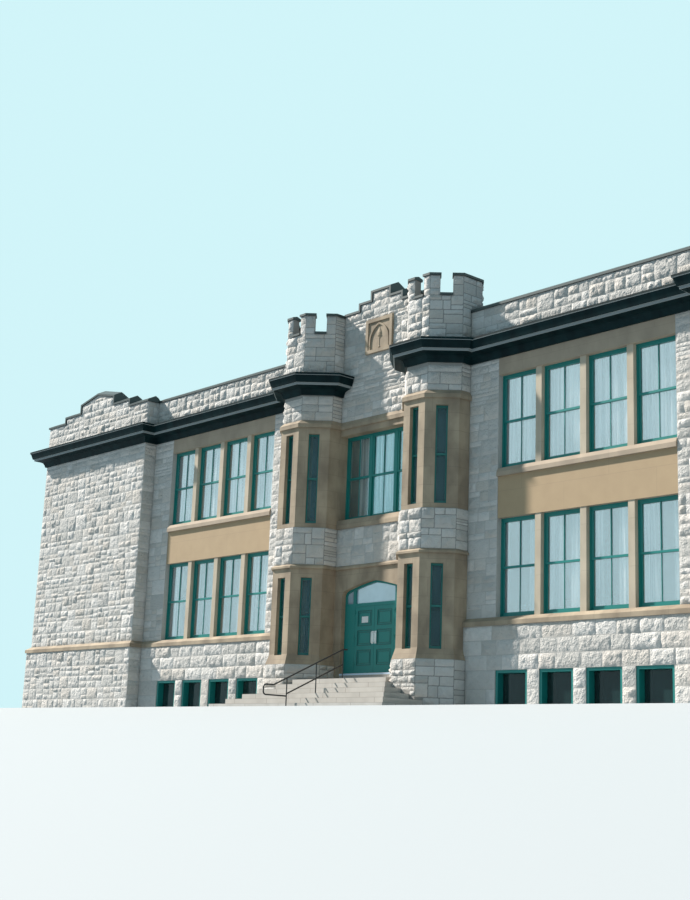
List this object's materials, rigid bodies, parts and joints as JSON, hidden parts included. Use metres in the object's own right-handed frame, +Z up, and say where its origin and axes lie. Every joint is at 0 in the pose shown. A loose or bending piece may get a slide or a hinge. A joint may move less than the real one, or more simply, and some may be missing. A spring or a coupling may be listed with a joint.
{
  "type": "school building",
  "caption": "Two-storey stone school building over a basement, with end pavilions, two crenellated entrance turrets and a pair of entrance doors that open.",
  "frame": {"origin": "on the ground, in the middle of the doorway, under the face of the front wing walls", "axes": "+X along the front to the right as one faces it, +Y into the building, +Z up"},
  "size_m": [38.96, 22.436, 13.236],
  "materials": {
    "limestone": "rock-faced squared limestone, stands for stone",
    "sandstone": "smooth dressed sandstone, stands for stone",
    "step_stone": "pale dressed stone, stands for stone",
    "cornice_paint": "weathered dark green paint on pressed sheet",
    "coping_sheet": "dull grey-green sheet",
    "green_paint": "teal green gloss paint on timber",
    "window_glass": "clear sheet glass",
    "concrete": "smooth concrete",
    "floor_boards": "worn boards",
    "roof_felt": "mineral felt",
    "rail_paint": "black paint on steel pipe",
    "pull_steel": "brushed plate"
  },
  "bodies": {
    "building": {"back_cornice": "cornice_paint", "back_mullions": "sandstone", "back_parapet": "limestone", "back_sill_course": "sandstone", "back_wall": "limestone", "back_window_bands": "sandstone", "back_window_frames": "green_paint", "back_window_glass": "window_glass", "basement_floor": "concrete", "basement_window_frames": "green_paint", "basement_window_glass": "window_glass", "centre_band": "limestone", "centre_parapet": "limestone", "centre_window_bands": "sandstone", "centre_window_frame": "green_paint", "copings": "coping_sheet", "door_arch": "sandstone", "door_frame": "green_paint", "door_jambs": "sandstone", "door_threshold": "step_stone", "entrance_bay_glass": "window_glass", "entrance_floor": "concrete", "entrance_steps": "step_stone", "first_floor": "floor_boards", "front_cornices": "cornice_paint", "front_mullions": "sandstone", "front_sill_course": "sandstone", "front_window_bands": "sandstone", "front_window_frames": "green_paint", "front_window_glass": "window_glass", "front_wing_base": "limestone", "front_wing_piers": "limestone", "handrail": "rail_paint", "pavilion_parapets": "limestone", "pavilion_walls": "limestone", "relief_panel": "sandstone", "roof_deck": "roof_felt", "second_floor": "floor_boards", "side_cornices": "cornice_paint", "side_mullions": "sandstone", "side_parapets": "limestone", "side_sill_course": "sandstone", "side_walls": "limestone", "side_window_bands": "sandstone", "side_window_frames": "green_paint", "side_window_glass": "window_glass", "turret_bands": "limestone", "turret_bases": "limestone", "turret_caps": "coping_sheet", "turret_cornices": "cornice_paint", "turret_crowns": "limestone", "turret_lower_stages": "sandstone", "turret_upper_stages": "sandstone", "turret_window_frames": "green_paint", "wing_parapets": "limestone"},
    "left_leaf": {"left_door_leaf": "green_paint", "left_pull": "pull_steel"},
    "right_leaf": {"right_door_leaf": "green_paint", "right_pull": "pull_steel"}
  },
  "joints": [
    {"name": "left_leaf_swing", "type": "hinge", "parent": "building", "child": "left_leaf", "pos_m": [-0.8515, 0.168, 2.19], "axis": [0, 0, 1], "range_deg": [-90, 0]},
    {"name": "right_leaf_swing", "type": "hinge", "parent": "building", "child": "right_leaf", "pos_m": [0.8515, 0.168, 2.19], "axis": [0, 0, 1], "range_deg": [0, 90]}
  ]
}
